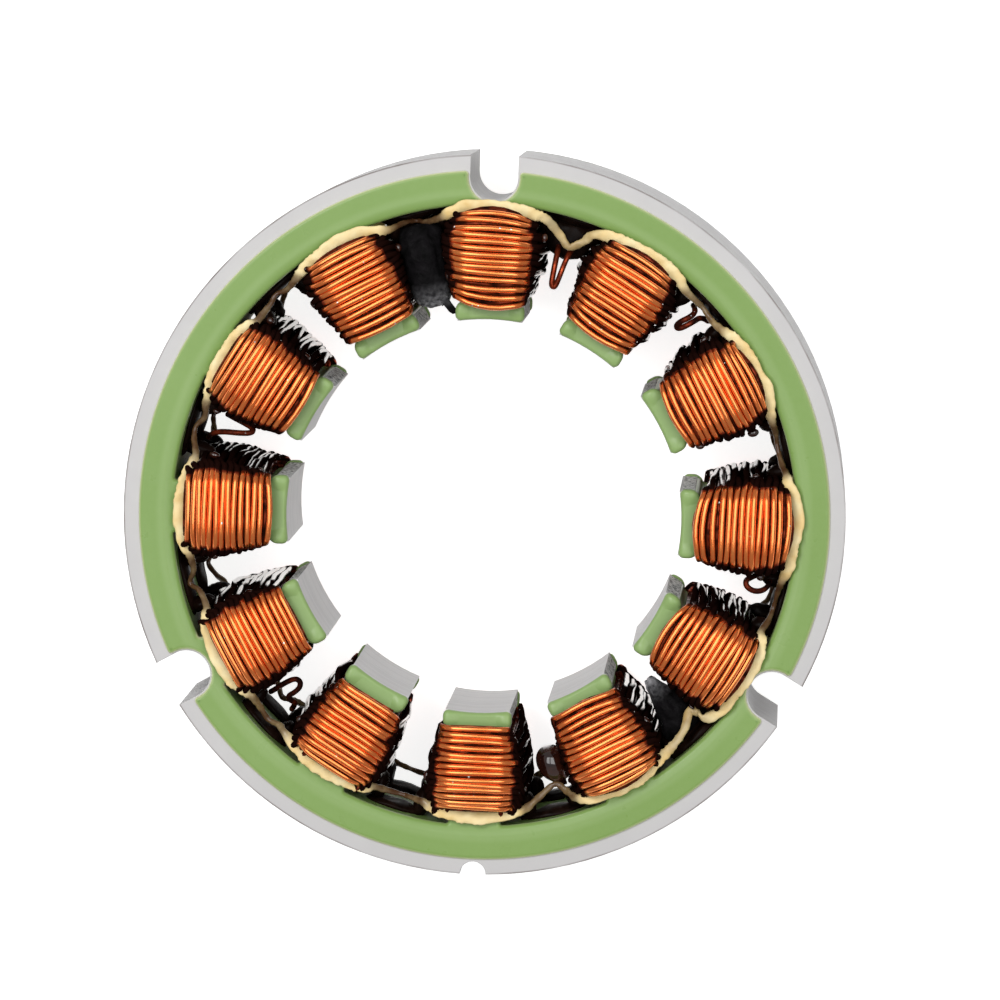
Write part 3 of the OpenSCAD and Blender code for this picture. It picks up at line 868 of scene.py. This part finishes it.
def lay_cord(name, up):
    """Sweep the cord's flat section along its line, with its width and its turn wandering."""
    chance = random.Random(name)
    line = cord_line(chance, up)
    count = len(line)
    soaks = [p.w for p in line]
    line = [p.xyz for p in line]
    waves = [(chance.randint(50, 190), chance.uniform(0, 6.28), chance.uniform(0.4, 1)) for i in range(6)]
    shape = bmesh.new()
    bmesh.ops.create_grid(shape, x_segments=count, y_segments=cord_sides, size=0.5)
    soaked = shape.verts.layers.float.new("soaked")
    for vert in shape.verts:
        i = round((vert.co.x + 0.5) * count) % count
        around = 2 * math.pi * round((vert.co.y + 0.5) * cord_sides) / cord_sides
        along = (line[(i + 1) % count] - line[i - 1]).normalized()
        outward = Vector((line[i].x, line[i].y, 0)).normalized()
        outward = (outward - along * outward.dot(along)).normalized()
        part = 2 * math.pi * i / count
        waver = sum(size * math.sin(rate * part + phase) for rate, phase, size in waves) / 4
        roll = Matrix.Rotation(up * math.radians(15) + 0.4 * waver, 3, along)
        wide = roll @ outward
        vert[soaked] = soaks[i]
        crown = 0.5 + 0.5 * math.cos(12 * math.atan2(line[i].x, line[i].y))
        loose = 0.4 + 0.8 * crown + 0.6 * (1 - soaks[i]) * (1 - crown)
        spread = cord_half * loose * (1 + 0.12 * math.sin(5 * waver))
        across = spread * math.cos(around) * wide
        vert.co = line[i] + across + cord_thin * (1 - 0.3 * waver) * math.sin(around) * along.cross(wide)
    bmesh.ops.remove_doubles(shape, verts=shape.verts[:], dist=0.001 * mm)
    bmesh.ops.recalc_face_normals(shape, faces=shape.faces[:])
    return to_mesh(name, shape)


add_piece("lacing_front", lay_cord("lacing_front", 1), cord_finish, "lacing_cord", "front_lacing")
add_piece("lacing_rear", lay_cord("lacing_rear", -1), cord_finish, "lacing_cord", "rear_lacing")

# Varnish: dark impregnating varnish that ran to the slot floors and set round the lacing.
# One large drop hangs between the coils at five and six o'clock. The rest webs the slots' outer
# corners as dark fill that is varnish and painted shade at once, and stands in small drops on the coils'
# sides.
varnish_finish, tree, shader, place = start_finish(
    "set_varnish", 0.1, Coat_Weight=1, Coat_Roughness=0.03
)
varnish = blend(tree, cloud(tree, 800.0, 0.0, 1.0), (0.012, 0.004, 0.003, 1), (0.05, 0.012, 0.006, 1))
tree.links.new(varnish, shader.inputs["Base Color"])
tree.links.new(cloud(tree, 1200.0, 0.06, 0.14), shader.inputs["Roughness"])
bead_rings = (
    (-0.6, 16.6, 0.8, 0.3, 0.3), (-0.6, 16.7, 0.75, 0.55, 0.55), (-0.6, 17.0, 0.65, 0.85, 0.85),
    (-0.6, 17.5, 0.6, 1.0, 1.05), (-0.65, 18.1, 0.65, 1.0, 1.05), (-0.7, 18.6, 0.7, 0.85, 0.9),
    (-0.8, 19.0, 0.9, 0.6, 0.65), (-0.9, 19.3, 1.2, 0.4, 0.45), (-1.0, 19.6, 1.5, 0.3, 0.3),
)
bead_mesh = loft_along_slot("varnish_drop", 5.5, bead_rings, 0.008)
add_piece("varnish_drop", bead_mesh, varnish_finish, "varnish", "varnish_bead_05_06")


def add_lump(shape, chance, hour, spot, swell, uneven=0.07):
    """Add one uneven lump at an hour, by its place and half sizes in mm."""
    place = hour_turn(hour) @ Matrix.Translation(Vector(spot) * mm)
    size = Matrix.Diagonal((swell[0] * mm, swell[1] * mm, swell[2] * mm, 1))
    lump = bmesh.ops.create_icosphere(shape, subdivisions=3, radius=1, matrix=place @ size)["verts"]
    for vert in lump:
        vert.co += shake(chance, uneven) * mm
    bmesh.ops.smooth_vert(
        shape, verts=lump, factor=0.5, use_axis_x=True, use_axis_y=True, use_axis_z=True
    )


# Dark fill in the slots' corners: varnish, and a dark sheet for the shade there.
web_finish, tree, shader, place = start_finish("varnish_and_shade_fill", 0.35, Specular_IOR_Level=0.05)
web_varnish_and_shade = blend(tree, cloud(tree, 800.0, 0.0, 1.0), (0.003, 0.0015, 0.001, 1), (0.014, 0.006, 0.004, 1))
tree.links.new(web_varnish_and_shade, shader.inputs["Base Color"])
tree.links.new(cloud(tree, 1600.0, 0.2, 0.5), shader.inputs["Roughness"])
web_depth = 2.2
wide_webs = ((12.5, 20.0, 1.7, 1.5), (11.5, 19.0, 1.6, 2.4), (4.5, 19.8, 1.7, 1.4))
for end, level in (("front", front_z / mm - web_depth), ("rear", rear_z / mm + web_depth)):
    webs = bmesh.new()
    chance = random.Random(end)
    for slot in range(12):
        hour = slot + 0.5
        spot = (chance.uniform(-0.2, 0.2), 21.4, level)
        add_lump(webs, chance, hour, spot, (chance.uniform(2.2, 2.7), 0.5, 1.2))
        for side in (-1, 1):
            aside = side * chance.uniform(1.5, 1.8)
            spot = (aside, chance.uniform(20.4, 20.8), level + chance.uniform(-0.5, 0.3))
            add_lump(webs, chance, hour, spot, (0.6, chance.uniform(0.8, 1.3), chance.uniform(0.6, 1.2)))
    for hour, reach, wide, long in wide_webs:
        add_lump(webs, chance, hour, (0, reach, level), (wide, long, 0.5))
    add_piece("varnish_and_shade_webs_" + end, to_mesh("varnish_and_shade_webs_" + end, webs), web_finish, "varnish")

drops = bmesh.new()
chance = random.Random("drops")
for slot in range(12):
    for side in (-1, 1):
        for reach in (chance.uniform(15.6, 17.5), chance.uniform(18, 20)):
            spot = (side * chance.uniform(1.4, 1.6), reach, front_z / mm + chance.uniform(-0.6, 0.5))
            size = chance.uniform(0.16, 0.3)
            add_lump(drops, chance, slot + 0.5, spot, (size, size * chance.uniform(1, 1.6), size), 0.004)
add_piece("varnish_drops", to_mesh("varnish_drops", drops), varnish_finish, "varnish")

# Stage: a plain white table and backdrop in one sheet, which keeps the part's soft shadow.
# Two large softboxes and a smaller key lamp hang over it.
floor_shape = bmesh.new()
bmesh.ops.create_grid(floor_shape, x_segments=2, y_segments=2, size=1.5)
floor_finish, tree, shader, place = start_finish("white_table", 0.9)
shader.inputs["Base Color"].default_value = (0.7, 0.7, 0.7, 1)
seen = add_node(tree, "ShaderNodeLightPath")
mirrored = sums(tree, "MULTIPLY", seen.outputs["Is Glossy Ray"], 0.7)
direct = sums(tree, "MAXIMUM", seen.outputs["Is Camera Ray"], mirrored)
direct = sums(tree, "MAXIMUM", direct, seen.outputs["Is Transmission Ray"])
shader.inputs["Emission Color"].default_value = (1, 1, 1, 1)
tree.links.new(sums(tree, "MULTIPLY", direct, 0.8), shader.inputs["Emission Strength"])
floor = bpy.data.objects.new("table", to_mesh("table", floor_shape))
bpy.context.scene.collection.objects.link(floor)
floor.data.materials.append(floor_finish)
floor.location.z = -0.05 * mm

world = bpy.data.worlds.new("studio")
bpy.context.scene.world = world
world.use_nodes = True
tree = world.node_tree
backdrop = tree.nodes["Background"]
seen = add_node(tree, "ShaderNodeLightPath")
backdrop.inputs["Color"].default_value = (1, 1, 1, 1)
room_light = 0.32
brightness = ramp(tree, seen.outputs["Is Camera Ray"], 0.0, 1.0, room_light, 1.0)
tree.links.new(brightness, backdrop.inputs["Strength"])


def add_softbox(name, spot, size, power):
    """Hang a flat softbox over the part, facing straight down."""
    lamp = bpy.data.lights.new(name, "AREA")
    lamp.shape = "RECTANGLE"
    lamp.size, lamp.size_y = size
    lamp.energy = power
    softbox = bpy.data.objects.new(name, lamp)
    bpy.context.scene.collection.objects.link(softbox)
    softbox.location = spot


add_softbox("softbox_left", (-0.15, 0.1, 0.45), (0.24, 0.4), 0.85)
add_softbox("softbox_right", (0.15, 0.1, 0.45), (0.24, 0.4), 0.85)
add_softbox("key_lamp", (-0.2, 0.22, 0.45), (0.14, 0.14), 0.75)

# Camera: a long lens that looks down on the coated face from a little above and to the right of
# the axis, turned slightly, with the ring in the middle of the picture.
camera_roll = math.radians(1.8)
camera_lean = (math.sin(math.radians(2.92)), math.sin(math.radians(5.29)))
camera_distance = 425 * mm
camera_aim = (1.13 * mm, 1.15 * mm)
picture_right = Vector((math.cos(camera_roll), math.sin(camera_roll), 0))
picture_up = Vector((-math.sin(camera_roll), math.cos(camera_roll), 0))
lean_up = math.sqrt(1 - camera_lean[0] ** 2 - camera_lean[1] ** 2)
toward = camera_lean[0] * picture_right + camera_lean[1] * picture_up + Vector((0, 0, lean_up))
centre = Vector((0, 0, front_z))
target = centre + camera_aim[0] * picture_right + camera_aim[1] * picture_up
eye = centre + camera_distance * toward
back = (eye - target).normalized()
right = picture_up.cross(back).normalized()
lens = bpy.data.cameras.new("camera")
lens.sensor_width = 36
lens.lens = 221.3
lens.clip_start = 0.01
camera = bpy.data.objects.new("camera", lens)
bpy.context.scene.collection.objects.link(camera)
facing = Matrix((right, back.cross(right), back)).transposed()
camera.matrix_world = Matrix.Translation(eye) @ facing.to_4x4()
bpy.context.scene.camera = camera
bpy.context.scene.view_settings.view_transform = "Standard"
